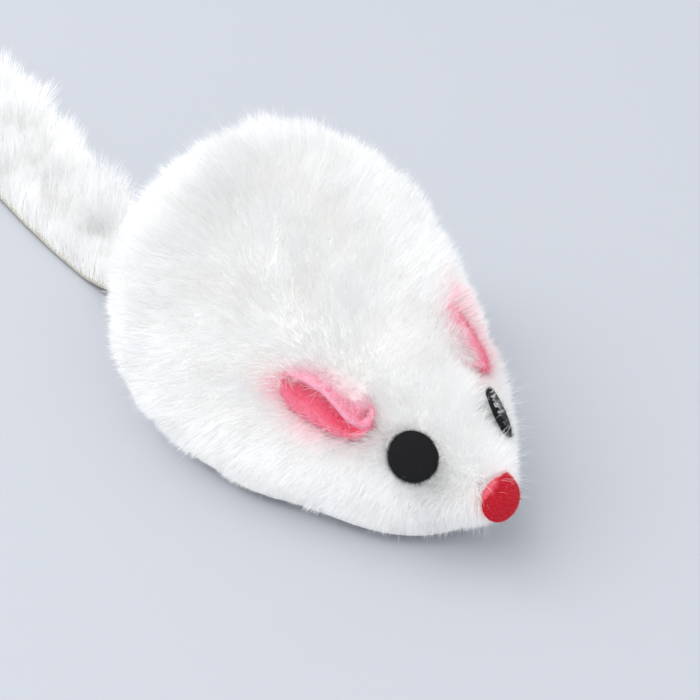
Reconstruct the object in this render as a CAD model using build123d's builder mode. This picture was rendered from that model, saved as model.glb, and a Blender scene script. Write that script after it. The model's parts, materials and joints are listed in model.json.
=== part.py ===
"""Clockwork mouse: a plush skin over a plastic shell, with a spring motor that drives two wheels.

Millimetres. The mouse faces -Y, +X is its left side and +Z is up. The origin is on the floor,
under the middle of the plush body, in the mouse's plane of symmetry.
"""

from build123d import *
from math import acos, atan2, cos, hypot, pi, radians, sin, sqrt, tan
import os

# ---------------------------------------------------------------- plush body
BODY_LENGTH = 62.0
NOSE_Y = -BODY_LENGTH / 2
RUMP_Y = BODY_LENGTH / 2
SNOUT_TIP_Z = 9.6
RUMP_TIP_Z = 12.5

# Cross-sections of the plush, nose to rump: place along the body, half width, height of the
# widest point, height of the back, and depth that the belly would reach if nothing cut it flat.
BODY_SECTIONS = [
    (-30.2, 2.5, 9.6, 12.1, 7.0),
    (-28.2, 4.6, 9.4, 14.0, 5.2),
    (-23.6, 8.3, 8.8, 16.6, 1.5),
    (-15.5, 13.6, 9.0, 20.2, -2.0),
    (-5.0, 18.4, 10.0, 25.4, -4.5),
    (6.2, 21.5, 11.6, 31.8, -4.8),
    (16.4, 20.8, 12.5, 34.3, -4.2),
    (24.6, 15.6, 12.6, 29.0, -1.6),
    (29.4, 8.0, 12.5, 20.4, 4.0),
]

# The shell inside is the same form drawn smaller about one point on the floor, so the plush is
# thin on the face and deep on the rump.
SCALE_CENTRE_Y = 1.5
SHELL_WIDTH_SCALE = 0.82
SHELL_LENGTH_SCALE = 0.87
CAVITY_WIDTH_SCALE = SHELL_WIDTH_SCALE * 0.93
CAVITY_LENGTH_SCALE = SHELL_LENGTH_SCALE * 0.955
BASE_FIT_SCALE = 0.985

HEM_Z = 1.2
BASE_Z = 2.0
BASE_THICKNESS = 1.2
BASE_TOP_Z = BASE_Z + BASE_THICKNESS

# ---------------------------------------------------------------- spring motor
GEAR_MODULE = 0.4
PRESSURE_ANGLE = radians(20)
ADDENDUM = 0.9 * GEAR_MODULE
DEDENDUM = 1.25 * GEAR_MODULE
TOOTH_PLAY = 0.10
TOOTH_SINK = 0.97  # share of the root radius at which a tooth's sides start, inside the disc
FLANK_STEPS = 4
GREAT_TEETH = 32
WHEEL_TEETH = 26
PINION_TEETH = 12

AXLE_YZ = (0.0, 7.5)
ARBOR_YZ = (12.5, 11.0)
FIRST_IDLER_BEARING = 137.0

PLATE_INNER_X = 6.0
PLATE_THICKNESS = 1.0
PLATE_OUTER_X = PLATE_INNER_X + PLATE_THICKNESS
PILLARS_YZ = [(-6.8, 5.7), (-8.0, 13.2), (16.6, 18.2), (6.0, 5.7)]
PILLAR_RADIUS = 1.1
PILLAR_END_RADIUS = 0.7
PLATE_MARGIN = 2.5
BEARING_MARGIN = 1.5
RIVET_HEIGHT = 0.4
SHAFT_REACH = PLATE_OUTER_X + 0.3
ARBOR_END = 0.4
RUNNING_CLEARANCE = 0.05

IDLER_SHAFT_RADIUS = 0.7
ARBOR_RADIUS = 1.2
AXLE_RADIUS = 1.0
AXLE_CHAMFER = 0.2

SPRING_X = (-5.6, -1.4)
SPRING_STRIP = 0.25
SPRING_FIRST_RADIUS = 1.9
SPRING_STEP = 0.32
SPRING_HALF_TURNS = 12
SPRING_PILLAR = 2
SPRING_CORE_RADIUS = 1.6
SPRING_HOOK_SLOPE = -0.2

RATCHET_X = (-0.9, 0.1)
RATCHET_TEETH = 24
RATCHET_TIP_RADIUS = 3.4
RATCHET_ROOT_RADIUS = 2.9
CLICK_RING_RADIUS = 0.95
CLICK_STUD_RADIUS = 0.5
CLICK_TIP_BEARING = 44.0
CLICK_TIP_GAP = 0.12
CLICK_TIP_RISE = 0.9
CLICK_HEEL_BEARING = 30.0
CLICK_HEEL_GAP = 0.2
CLICK_BACK = (0.3, 0.9)
CLICK_STUD_OVERHANG = 0.1
CLICK_PIVOT = (5.3, 0.0)
CLICK_SPRING_FOOT = (1.2, 5.4)
CLICK_SPRING_STRIP = 0.2
CLICK_SPRING_START = (1.7, 5.75)
CLICK_SPRING_TIP = (4.3, 2.16)
CLICK_SPRING_INSET = 0.2

GREAT_X = (0.3, 1.5)
GREAT_HUB_LENGTH = 0.8
GREAT_HUB_RADIUS = 2.2
FIRST_PINION_X = (0.25, 2.1)
FIRST_WHEEL_X = (2.1, 3.1)
SECOND_PINION_X = (1.9, 3.4)
SECOND_WHEEL_X = (3.4, 4.4)
AXLE_PINION_X = (3.2, 4.8)

# ---------------------------------------------------------------- running gear
DRIVE_WHEEL_RADIUS = 7.5
TYRE_THICKNESS = 1.1
TYRE_ROUND = 0.8
WHEEL_DISH = 0.8
WHEEL_RIM = 1.0
WHEEL_HUB_RADIUS = 2.0
DRIVE_WHEEL_X = (7.6, 10.2)
WHEEL_SLOT_X = (7.3, 10.6)
WHEEL_SLOT_HALF_LENGTH = 7.0
ROLLER_Y = 18.8
ROLLER_RADIUS = 3.0
ROLLER_HALF_WIDTH = 1.8
ROLLER_ROUND = 0.5
ROLLER_PIN_RADIUS = 0.5
ROLLER_EAR_X = (2.1, 4.1)
ROLLER_EAR_LENGTH = 4.0
ROLLER_EAR_TOP_Z = 4.6
ROLLER_SLOT_HALF_LENGTH = 3.5

RIB_X = 7.6
RIB_Y = 13.0
RIB_WIDTH = 1.0
RIB_LENGTH = 5.0
RIB_HEIGHT = 3.0
SCREW_SPOTS = [(0.0, -16.2), (-9.2, 16.9), (9.2, 16.9)]
SCREW_BOSS_RADIUS = 1.7
SCREW_RADIUS = 0.8
SCREW_HEAD_RADIUS = 1.5
SCREW_HEAD_HEIGHT = 0.7
SCREW_HOLE_RADIUS = 1.0
SCREW_RECESS_RADIUS = 1.65
SCREW_LENGTH = 6.0
SCREW_SLOT_LENGTH = 1.8
SCREW_SLOT_WIDTH = 0.4

# ---------------------------------------------------------------- key
KEY_HUB_X = (18.3, 20.6)
KEY_HUB_RADIUS = 2.3
KEY_TIP_X = 23.8
KEY_LOBE_RADIUS = 2.3
KEY_LOBE_SPREAD = 3.0
KEY_THICKNESS = 1.8
KEY_EYE_RADIUS = 1.0
KEY_SOCKET_DEPTH = 2.2
KEY_OPENING_RADIUS = 6.4
ARBOR_HOLE_RADIUS = 1.6
ARBOR_HALF_BODY = 20.0

# ---------------------------------------------------------------- face and tail
EYE_RADIUS = 3.0
EYE_THICKNESS = 0.9
EYE_SPOT = (6.6, -22.1, 14.4)
EYE_NORMAL = (0.78, -0.47, 0.42)
EAR_LENGTH = 12.5
EAR_WIDTH = 6.0
EAR_CUP_RADIUS = 4.2
EAR_FELT = 0.9
EAR_DEPTH = 1.0
EAR_SPOT = (9.4, -10.8, 16.2)
EAR_NORMAL = (0.68, -0.30, 0.66)
EAR_RUN = (0.30, 0.92, 0.12)
NOSE_RADIUS = 3.1
NOSE_FELT = 0.8
NOSE_CENTRE = (0.0, NOSE_Y + 2.9, 9.6)
NOSE_FACING = (0.0, -0.93, 0.37)
NOSE_CUT = 0.9
SEAT_CLEARANCE = 0.05

TAIL_WIDTH = 12.0
TAIL_THICKNESS = 4.4
TAIL_CLEARANCE_Z = 0.3
TAIL_PIVOT_Y = 33.8
TAIL_ROOT_Z = 3.8
TAIL_LANDING_Y = 47.0
TAIL_MIDDLE = (0.4, 60.0)
TAIL_END_X = 5.2
TAIL_END_Y = RUMP_Y + 62.0
TAIL_SLOT_HALF_WIDTH = 6.5
TAIL_SLOT_Y = 27.3
TAIL_SLOT_TOP_Z = 8.7


# ---------------------------------------------------------------- helpers
def section(y, half_width, waist_z, back_z, belly_z):
    """A closed egg of two half ellipses that meet at the widest point."""
    with BuildSketch(Plane((0, y, 0), x_dir=(1, 0, 0), z_dir=(0, -1, 0))) as egg:
        with BuildLine():
            EllipticalCenterArc((0, waist_z), half_width, back_z - waist_z, 0, arc_size=180)
            EllipticalCenterArc((0, waist_z), half_width, waist_z - belly_z, 180, arc_size=180)
        make_face()
    return egg.sketch


def body_form(width_scale=1.0, length_scale=1.0, floor_z=HEM_Z):
    """The mouse's rounded form, drawn smaller about the scale centre and cut flat underneath."""

    def along(y):
        return SCALE_CENTRE_Y + (y - SCALE_CENTRE_Y) * length_scale

    sections = [
        section(along(y), width * width_scale, *[z * length_scale for z in heights])
        for y, width, *heights in BODY_SECTIONS
    ]
    nose = Vertex(0, along(NOSE_Y), SNOUT_TIP_Z * length_scale)
    rump = Vertex(0, along(RUMP_Y), RUMP_TIP_Z * length_scale)
    with BuildPart(mode=Mode.PRIVATE) as form:
        loft([nose, *sections, rump])
        split(bisect_by=Plane.XY.offset(floor_z), keep=Keep.TOP)
    return form.part


def across(x, yz, turn=0.0):
    """A sketch plane at x that looks along +X, centred on a shaft and turned about it (radians)."""
    return Plane((x, *yz), x_dir=(0, cos(turn), sin(turn)), z_dir=(1, 0, 0))


def polar(radius, degrees):
    return (radius * cos(radians(degrees)), radius * sin(radians(degrees)))


def pitch_radius(teeth):
    return GEAR_MODULE * teeth / 2


def centre_distance(teeth_a, teeth_b):
    return pitch_radius(teeth_a) + pitch_radius(teeth_b)


def mesh_turn(teeth_a, turn_a, teeth_b, centre_a, centre_b):
    """The turn that puts a gap of gear b opposite a tooth of gear a."""
    bearing = atan2(centre_b[1] - centre_a[1], centre_b[0] - centre_a[0])
    phase_a = (bearing - turn_a) * teeth_a / (2 * pi)
    return bearing + pi - (0.5 - phase_a) * 2 * pi / teeth_b


def gear_outline(teeth):
    """Spur gear outline in the sketch's own plane, with a tooth on its x axis."""
    pitch = pitch_radius(teeth)
    base = pitch * cos(PRESSURE_ANGLE)
    tip = pitch + ADDENDUM
    root = pitch - DEDENDUM
    half_tooth = pi / (2 * teeth) - TOOTH_PLAY / (2 * pitch)

    def flank_angle(radius):
        pressure = acos(min(1.0, base / radius))
        return half_tooth + tan(PRESSURE_ANGLE) - PRESSURE_ANGLE - (tan(pressure) - pressure)

    start = max(base, root)
    flank = [(root * TOOTH_SINK, flank_angle(start))]
    for step in range(FLANK_STEPS + 1):
        radius = start + (tip - start) * step / FLANK_STEPS
        flank.append((radius, flank_angle(radius)))
    upper = [(r * cos(a), r * sin(a)) for r, a in flank]
    lower = [(y, -z) for y, z in reversed(upper)]
    Circle(root)
    with PolarLocations(0, teeth):
        Polygon(*lower, *upper, align=None)


def gear(teeth, x_range, yz, turn):
    """A toothed disc between two x positions."""
    with BuildSketch(across(x_range[0], yz, turn)) as outline:
        gear_outline(teeth)
    extrude(outline.sketch, amount=x_range[1] - x_range[0])


def rod(x_range, yz, radius, mode=Mode.ADD):
    """A round bar, or with Mode.SUBTRACT a hole, parallel to X."""
    with BuildSketch(across(x_range[0], yz)) as disc:
        Circle(radius)
    extrude(disc.sketch, amount=x_range[1] - x_range[0], mode=mode)


def finish(piece, name):
    piece.part.label = name
    export_step(piece.part, f"parts/{name}.step")
    print(f"{name}: volume {piece.part.volume:.1f} mm3, {len(piece.part.solids())} solid(s)")


os.makedirs("parts", exist_ok=True)

# ---------------------------------------------------------------- where the train runs
FIRST_IDLER_YZ = (
    ARBOR_YZ[0] + centre_distance(GREAT_TEETH, PINION_TEETH) * cos(radians(FIRST_IDLER_BEARING)),
    ARBOR_YZ[1] + centre_distance(GREAT_TEETH, PINION_TEETH) * sin(radians(FIRST_IDLER_BEARING)),
)
# The second idler stands as far from the axle as from the first idler, on the front side.
IDLER_REACH = centre_distance(WHEEL_TEETH, PINION_TEETH)
SPAN = (FIRST_IDLER_YZ[0] - AXLE_YZ[0], FIRST_IDLER_YZ[1] - AXLE_YZ[1])
SPAN_LENGTH = hypot(*SPAN)
RISE = sqrt(IDLER_REACH**2 - (SPAN_LENGTH / 2) ** 2)
SECOND_IDLER_YZ = (
    AXLE_YZ[0] + SPAN[0] / 2 - RISE * SPAN[1] / SPAN_LENGTH,
    AXLE_YZ[1] + SPAN[1] / 2 + RISE * SPAN[0] / SPAN_LENGTH,
)
GREAT_TURN = 0.0
FIRST_TURN = mesh_turn(GREAT_TEETH, GREAT_TURN, PINION_TEETH, ARBOR_YZ, FIRST_IDLER_YZ)
SECOND_TURN = mesh_turn(WHEEL_TEETH, FIRST_TURN, PINION_TEETH, FIRST_IDLER_YZ, SECOND_IDLER_YZ)
AXLE_TURN = mesh_turn(WHEEL_TEETH, SECOND_TURN, PINION_TEETH, SECOND_IDLER_YZ, AXLE_YZ)

# ---------------------------------------------------------------- plush skin
shell_form = body_form(SHELL_WIDTH_SCALE, SHELL_LENGTH_SCALE, BASE_Z)
eye_plane = Plane(EYE_SPOT, x_dir=(0, 1, 0), z_dir=EYE_NORMAL)
ear_plane = Plane(EAR_SPOT, x_dir=EAR_RUN, z_dir=EAR_NORMAL)


def eye_disc(grow=0.0):
    with BuildPart(mode=Mode.PRIVATE) as disc:
        with BuildSketch(eye_plane.offset(-EYE_THICKNESS / 2 - grow)):
            Circle(EYE_RADIUS + grow)
        extrude(amount=EYE_THICKNESS + 2 * grow)
    return disc.part


def ear_leaf(grow=0.0):
    """A leaf of felt cupped about its length, its hollow facing out."""
    half_length = EAR_LENGTH / 2 + grow
    half_width = EAR_WIDTH / 2 + grow
    cup_centre = ear_plane.from_local_coords((0, 0, EAR_CUP_RADIUS))
    cup_plane = Plane(cup_centre, x_dir=ear_plane.y_dir, z_dir=ear_plane.x_dir)
    with BuildPart(mode=Mode.PRIVATE) as leaf:
        with BuildSketch(ear_plane.offset(-EAR_DEPTH - grow)):
            with BuildLine():
                ThreePointArc((-half_length, 0), (0, half_width), (half_length, 0))
                ThreePointArc((half_length, 0), (0, -half_width), (-half_length, 0))
            make_face()
        extrude(amount=EAR_CUP_RADIUS + EAR_DEPTH)
        with BuildSketch(cup_plane.offset(-EAR_LENGTH)):
            Circle(EAR_CUP_RADIUS + grow)
            Circle(EAR_CUP_RADIUS - EAR_FELT - grow, mode=Mode.SUBTRACT)
        extrude(amount=2 * EAR_LENGTH, mode=Mode.INTERSECT)
    return leaf.part


def nose_cap(grow=0.0):
    """A round of felt wrapped over the snout's tip."""
    cut_plane = Plane(NOSE_CENTRE, x_dir=(1, 0, 0), z_dir=NOSE_FACING)
    with BuildPart(mode=Mode.PRIVATE) as cap:
        with Locations(NOSE_CENTRE):
            Sphere(NOSE_RADIUS + grow)
            Sphere(NOSE_RADIUS - NOSE_FELT - grow, mode=Mode.SUBTRACT)
        split(bisect_by=cut_plane.offset(NOSE_CUT - grow), keep=Keep.TOP)
    return cap.part


def both_sides(piece):
    """The left-hand piece and its mirror image on the right."""
    return piece, mirror(piece, about=Plane.YZ, mode=Mode.PRIVATE)


with BuildPart() as fur_body:
    add(body_form())
    add(shell_form, mode=Mode.SUBTRACT)
    add(body_form(CAVITY_WIDTH_SCALE, CAVITY_LENGTH_SCALE, HEM_Z - 1), mode=Mode.SUBTRACT)
    rod((SHELL_WIDTH_SCALE * ARBOR_HALF_BODY, BODY_LENGTH), ARBOR_YZ, KEY_OPENING_RADIUS, Mode.SUBTRACT)
    with BuildSketch(Plane.XZ.offset(-TAIL_SLOT_Y)):
        Rectangle(2 * TAIL_SLOT_HALF_WIDTH, 2 * TAIL_SLOT_TOP_Z)
    extrude(amount=-BODY_LENGTH, mode=Mode.SUBTRACT)
    for seat in (eye_disc(SEAT_CLEARANCE), ear_leaf(SEAT_CLEARANCE)):
        for side in both_sides(seat):
            add(side, mode=Mode.SUBTRACT)
    add(nose_cap(SEAT_CLEARANCE), mode=Mode.SUBTRACT)
finish(fur_body, "fur_body")

for name, piece in (("eye", eye_disc()), ("ear", ear_leaf())):
    for side_name, side in zip(("left", "right"), both_sides(piece)):
        with BuildPart() as felt:
            add(side)
        finish(felt, f"{name}_{side_name}")

with BuildPart() as nose_patch:
    add(nose_cap())
finish(nose_patch, "nose_patch")

# ---------------------------------------------------------------- tail
TAIL_TIP = (TAIL_END_X, TAIL_END_Y - TAIL_WIDTH / 2)
with BuildPart() as tail_strip:
    with BuildSketch():
        with BuildLine():
            Spline((0, TAIL_PIVOT_Y), TAIL_MIDDLE, TAIL_TIP)
        trace(line_width=TAIL_WIDTH)
        with Locations((0, TAIL_PIVOT_Y), TAIL_TIP):
            Circle(TAIL_WIDTH / 2)
    extrude(amount=TAIL_ROOT_Z + TAIL_THICKNESS)
    # Seen from the side the strip comes down from the hem and then lies along the floor.
    with BuildSketch(Plane.YZ.offset(-BODY_LENGTH)):
        with BuildLine() as underside:
            root = (TAIL_PIVOT_Y - TAIL_WIDTH / 2, TAIL_ROOT_Z)
            landing = (TAIL_LANDING_Y, TAIL_CLEARANCE_Z)
            Spline(root, landing, tangents=((1, 0), (1, 0)))
            Line(landing, (TAIL_END_Y, TAIL_CLEARANCE_Z))
            upper = underside.line.moved(Location((0, TAIL_THICKNESS, 0)))
            add(upper)
            Line(root, (root[0], root[1] + TAIL_THICKNESS))
            Line((TAIL_END_Y, TAIL_CLEARANCE_Z), (TAIL_END_Y, TAIL_CLEARANCE_Z + TAIL_THICKNESS))
        make_face()
    extrude(amount=2 * BODY_LENGTH, mode=Mode.INTERSECT)
finish(tail_strip, "tail_strip")

# ---------------------------------------------------------------- shell and base
with BuildPart() as shell_upper:
    add(shell_form)
    add(body_form(CAVITY_WIDTH_SCALE, CAVITY_LENGTH_SCALE, BASE_Z - 1), mode=Mode.SUBTRACT)
    rod((ARBOR_HALF_BODY / 2, ARBOR_HALF_BODY), ARBOR_YZ, ARBOR_HOLE_RADIUS, Mode.SUBTRACT)
    with BuildSketch(Plane.XY.offset(BASE_TOP_Z)) as bosses:
        with Locations(SCREW_SPOTS):
            Circle(SCREW_BOSS_RADIUS)
    extrude(until=Until.NEXT)
    with Locations([(x, y, BASE_TOP_Z) for x, y in SCREW_SPOTS]):
        Cylinder(
            SCREW_RADIUS,
            SCREW_LENGTH,
            align=(Align.CENTER, Align.CENTER, Align.MIN),
            mode=Mode.SUBTRACT,
        )
finish(shell_upper, "shell_upper")

with BuildPart() as base_plate:
    add(
        body_form(
            CAVITY_WIDTH_SCALE * BASE_FIT_SCALE, CAVITY_LENGTH_SCALE * BASE_FIT_SCALE, BASE_Z
        )
    )
    split(bisect_by=Plane.XY.offset(BASE_TOP_Z), keep=Keep.BOTTOM)
    with BuildSketch(Plane.XY.offset(BASE_Z)):
        slot_width = WHEEL_SLOT_X[1] - WHEEL_SLOT_X[0]
        for side in (-1, 1):
            with Locations((side * (WHEEL_SLOT_X[0] + slot_width / 2), AXLE_YZ[0])):
                Rectangle(slot_width, 2 * WHEEL_SLOT_HALF_LENGTH)
        with Locations((0, ROLLER_Y)):
            Rectangle(2 * ROLLER_EAR_X[0], 2 * ROLLER_SLOT_HALF_LENGTH)
    extrude(amount=BASE_THICKNESS, mode=Mode.SUBTRACT)
    for side in (-1, 1):
        ear_middle = side * (ROLLER_EAR_X[0] + ROLLER_EAR_X[1]) / 2
        with BuildSketch(Plane.XY.offset(BASE_Z)):
            with Locations((ear_middle, ROLLER_Y)):
                Rectangle(ROLLER_EAR_X[1] - ROLLER_EAR_X[0], ROLLER_EAR_LENGTH)
        extrude(amount=ROLLER_EAR_TOP_Z - BASE_Z)
    rod(
        (-ROLLER_EAR_X[1], ROLLER_EAR_X[1]),
        (ROLLER_Y, ROLLER_RADIUS),
        ROLLER_PIN_RADIUS + RUNNING_CLEARANCE,
        Mode.SUBTRACT,
    )
    # Upright ribs beside the motor plates, clear of the wheels.
    with BuildSketch(Plane.XY.offset(BASE_TOP_Z)):
        for side in (-1, 1):
            with Locations((side * RIB_X, RIB_Y)):
                Rectangle(RIB_WIDTH, RIB_LENGTH)
    extrude(amount=RIB_HEIGHT)
    with Locations([(x, y, BASE_Z) for x, y in SCREW_SPOTS]):
        CounterBoreHole(
            SCREW_HOLE_RADIUS, SCREW_RECESS_RADIUS, SCREW_HEAD_HEIGHT, depth=BASE_THICKNESS
        )
finish(base_plate, "base_plate")

with BuildPart() as base_screws:
    with BuildSketch(Plane.XY.offset(BASE_Z)):
        with Locations(SCREW_SPOTS):
            Circle(SCREW_HEAD_RADIUS)
    extrude(amount=SCREW_HEAD_HEIGHT)
    with BuildSketch(Plane.XY.offset(BASE_Z)):
        with Locations(SCREW_SPOTS):
            Circle(SCREW_RADIUS)
    extrude(amount=SCREW_LENGTH)
    with BuildSketch(Plane.XY.offset(BASE_Z)):
        with Locations(SCREW_SPOTS):
            Rectangle(SCREW_SLOT_LENGTH, SCREW_SLOT_WIDTH)
            Rectangle(SCREW_SLOT_WIDTH, SCREW_SLOT_LENGTH)
    extrude(amount=SCREW_HEAD_HEIGHT / 2, mode=Mode.SUBTRACT)
finish(base_screws, "base_screws")

# ---------------------------------------------------------------- motor frame
BEARINGS = [
    (AXLE_YZ, AXLE_RADIUS),
    (ARBOR_YZ, ARBOR_RADIUS),
    (FIRST_IDLER_YZ, IDLER_SHAFT_RADIUS),
    (SECOND_IDLER_YZ, IDLER_SHAFT_RADIUS),
]


def motor_plate(x):
    """A side plate that wraps round the pillars and the bearings, drilled for both."""
    plane = across(x, (0, 0))
    with BuildSketch(plane) as outline:
        with Locations(*PILLARS_YZ):
            Circle(PLATE_MARGIN)
        for centre, radius in BEARINGS:
            with Locations(centre):
                Circle(radius + BEARING_MARGIN)
        make_hull()
    extrude(outline.sketch, amount=PLATE_THICKNESS)
    with BuildSketch(plane) as holes:
        with Locations(*PILLARS_YZ):
            Circle(PILLAR_END_RADIUS)
        for centre, radius in BEARINGS:
            with Locations(centre):
                Circle(radius + RUNNING_CLEARANCE)
    extrude(holes.sketch, amount=PLATE_THICKNESS, mode=Mode.SUBTRACT)


with BuildPart() as motor_plate_left:
    motor_plate(PLATE_INNER_X)
finish(motor_plate_left, "motor_plate_left")

with BuildPart() as motor_plate_right:
    motor_plate(-PLATE_OUTER_X)
finish(motor_plate_right, "motor_plate_right")

with BuildPart() as motor_pillars:
    for spot in PILLARS_YZ:
        rod((-PLATE_INNER_X, PLATE_INNER_X), spot, PILLAR_RADIUS)
        rod((-PLATE_OUTER_X, PLATE_OUTER_X), spot, PILLAR_END_RADIUS)
        for side in (-1, 1):
            head = sorted((side * PLATE_OUTER_X, side * (PLATE_OUTER_X + RIVET_HEIGHT)))
            rod(head, spot, PILLAR_RADIUS)
finish(motor_pillars, "motor_pillars")

# ---------------------------------------------------------------- spring, arbor and click
# The ribbon winds outward clockwise and ends in a loop round one pillar, on the sketch's x axis.
pillar_offset = [end - start for end, start in zip(PILLARS_YZ[SPRING_PILLAR], ARBOR_YZ)]
pillar_bearing = atan2(pillar_offset[1], pillar_offset[0])
pillar_reach = hypot(*pillar_offset)
with BuildPart() as mainspring:
    with BuildSketch(across(SPRING_X[0], ARBOR_YZ, pillar_bearing)):
        with BuildLine():
            for turn in range(SPRING_HALF_TURNS):
                middle = SPRING_STEP / 2 * (1 if turn % 2 else -1)
                radius = SPRING_FIRST_RADIUS + turn * SPRING_STEP
                sweep = 90 if turn == SPRING_HALF_TURNS - 1 else 180
                coil = CenterArc((middle, 0), radius, -180 * turn, -sweep)
            Spline(
                coil @ 1,
                (pillar_reach, PILLAR_RADIUS + SPRING_STRIP / 2),
                tangents=(coil % 1, (1, SPRING_HOOK_SLOPE)),
            )
        trace(line_width=SPRING_STRIP)
        with Locations((pillar_reach, 0)):
            Circle(PILLAR_RADIUS + SPRING_STRIP)
            Circle(PILLAR_RADIUS, mode=Mode.SUBTRACT)
    extrude(amount=SPRING_X[1] - SPRING_X[0])
finish(mainspring, "mainspring")

with BuildPart() as winding_arbor:
    rod((-PLATE_OUTER_X - ARBOR_END, KEY_HUB_X[0] + KEY_SOCKET_DEPTH), ARBOR_YZ, ARBOR_RADIUS)
    rod(SPRING_X, ARBOR_YZ, SPRING_CORE_RADIUS)
finish(winding_arbor, "winding_arbor")

with BuildPart() as ratchet_wheel:
    with BuildSketch(across(RATCHET_X[0], ARBOR_YZ)):
        pitch = 360 / RATCHET_TEETH
        outline = []
        for tooth in range(RATCHET_TEETH):
            outline.append(polar(RATCHET_ROOT_RADIUS, tooth * pitch))
            outline.append(polar(RATCHET_TIP_RADIUS, tooth * pitch))
        Polygon(*outline, align=None)
        Circle(ARBOR_RADIUS, mode=Mode.SUBTRACT)
    extrude(amount=RATCHET_X[1] - RATCHET_X[0])
finish(ratchet_wheel, "ratchet_wheel")

with BuildPart() as great_gear:
    gear(GREAT_TEETH, GREAT_X, ARBOR_YZ, GREAT_TURN)
    rod((GREAT_X[0], GREAT_X[1] + GREAT_HUB_LENGTH), ARBOR_YZ, GREAT_HUB_RADIUS)
    rod(
        (GREAT_X[0], GREAT_X[1] + GREAT_HUB_LENGTH),
        ARBOR_YZ,
        ARBOR_RADIUS + RUNNING_CLEARANCE,
        Mode.SUBTRACT,
    )
    for spot in (CLICK_PIVOT, CLICK_SPRING_FOOT):
        stud = (ARBOR_YZ[0] + spot[0], ARBOR_YZ[1] + spot[1])
        rod((RATCHET_X[0] - CLICK_STUD_OVERHANG, GREAT_X[0]), stud, CLICK_STUD_RADIUS)
finish(great_gear, "great_gear")

with BuildPart() as click_pawl:
    with BuildSketch(across(RATCHET_X[0], ARBOR_YZ)):
        Polygon(
            polar(RATCHET_ROOT_RADIUS + CLICK_TIP_GAP, CLICK_TIP_BEARING),
            polar(RATCHET_TIP_RADIUS + CLICK_TIP_RISE, CLICK_TIP_BEARING),
            (CLICK_PIVOT[0] + CLICK_BACK[0], CLICK_PIVOT[1] + CLICK_BACK[1]),
            (CLICK_PIVOT[0] - CLICK_RING_RADIUS, CLICK_PIVOT[1]),
            polar(RATCHET_TIP_RADIUS + CLICK_HEEL_GAP, CLICK_HEEL_BEARING),
            align=None,
        )
        with Locations(CLICK_PIVOT):
            Circle(CLICK_RING_RADIUS)
            Circle(CLICK_STUD_RADIUS + RUNNING_CLEARANCE, mode=Mode.SUBTRACT)
    extrude(amount=RATCHET_X[1] - RATCHET_X[0])
finish(click_pawl, "click_pawl")

# A leaf that starts on its own stud and lies along the back of the click.
with BuildPart() as click_spring:
    with BuildSketch(across(RATCHET_X[0] + CLICK_SPRING_INSET, ARBOR_YZ)):
        with Locations(CLICK_SPRING_FOOT):
            Circle(CLICK_STUD_RADIUS + CLICK_SPRING_STRIP)
            Circle(CLICK_STUD_RADIUS, mode=Mode.SUBTRACT)
        with BuildLine():
            Line(CLICK_SPRING_START, CLICK_SPRING_TIP)
        trace(line_width=CLICK_SPRING_STRIP)
    extrude(amount=RATCHET_X[1] - RATCHET_X[0] - 2 * CLICK_SPRING_INSET)
finish(click_spring, "click_spring")

# ---------------------------------------------------------------- gear train
with BuildPart() as first_idler_gear:
    gear(PINION_TEETH, FIRST_PINION_X, FIRST_IDLER_YZ, FIRST_TURN)
    gear(WHEEL_TEETH, FIRST_WHEEL_X, FIRST_IDLER_YZ, FIRST_TURN)
    rod((FIRST_PINION_X[0], FIRST_WHEEL_X[1]), FIRST_IDLER_YZ, IDLER_SHAFT_RADIUS, Mode.SUBTRACT)
finish(first_idler_gear, "first_idler_gear")

with BuildPart() as second_idler_gear:
    gear(PINION_TEETH, SECOND_PINION_X, SECOND_IDLER_YZ, SECOND_TURN)
    gear(WHEEL_TEETH, SECOND_WHEEL_X, SECOND_IDLER_YZ, SECOND_TURN)
    rod((SECOND_PINION_X[0], SECOND_WHEEL_X[1]), SECOND_IDLER_YZ, IDLER_SHAFT_RADIUS, Mode.SUBTRACT)
finish(second_idler_gear, "second_idler_gear")

for name, centre in (("first", FIRST_IDLER_YZ), ("second", SECOND_IDLER_YZ)):
    with BuildPart() as idler_shaft:
        rod((-SHAFT_REACH, SHAFT_REACH), centre, IDLER_SHAFT_RADIUS)
    finish(idler_shaft, f"{name}_idler_shaft")

with BuildPart() as axle_pinion:
    gear(PINION_TEETH, AXLE_PINION_X, AXLE_YZ, AXLE_TURN)
    rod(AXLE_PINION_X, AXLE_YZ, AXLE_RADIUS, Mode.SUBTRACT)
finish(axle_pinion, "axle_pinion")

# ---------------------------------------------------------------- axle, wheels and roller
with BuildPart() as drive_axle:
    rod((-DRIVE_WHEEL_X[1], DRIVE_WHEEL_X[1]), AXLE_YZ, AXLE_RADIUS)
    chamfer(drive_axle.edges().filter_by(GeomType.CIRCLE), AXLE_CHAMFER)
finish(drive_axle, "drive_axle")


def drive_wheel(side):
    """A wheel with a rim, a thin web and a hub, on the left (1) or the right (-1)."""
    low, high = sorted(side * x for x in DRIVE_WHEEL_X)
    rim = DRIVE_WHEEL_RADIUS - TYRE_THICKNESS
    rod((low, high), AXLE_YZ, rim)
    for pocket_x in (low, high - WHEEL_DISH):
        with BuildSketch(across(pocket_x, AXLE_YZ)) as ring:
            Circle(rim - WHEEL_RIM)
            Circle(WHEEL_HUB_RADIUS, mode=Mode.SUBTRACT)
        extrude(ring.sketch, amount=WHEEL_DISH, mode=Mode.SUBTRACT)
    rod((low, high), AXLE_YZ, AXLE_RADIUS, Mode.SUBTRACT)


def drive_tyre(side):
    """A rubber ring with a rounded tread."""
    low, high = sorted(side * x for x in DRIVE_WHEEL_X)
    rod((low, high), AXLE_YZ, DRIVE_WHEEL_RADIUS)
    rod((low, high), AXLE_YZ, DRIVE_WHEEL_RADIUS - TYRE_THICKNESS, Mode.SUBTRACT)


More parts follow.
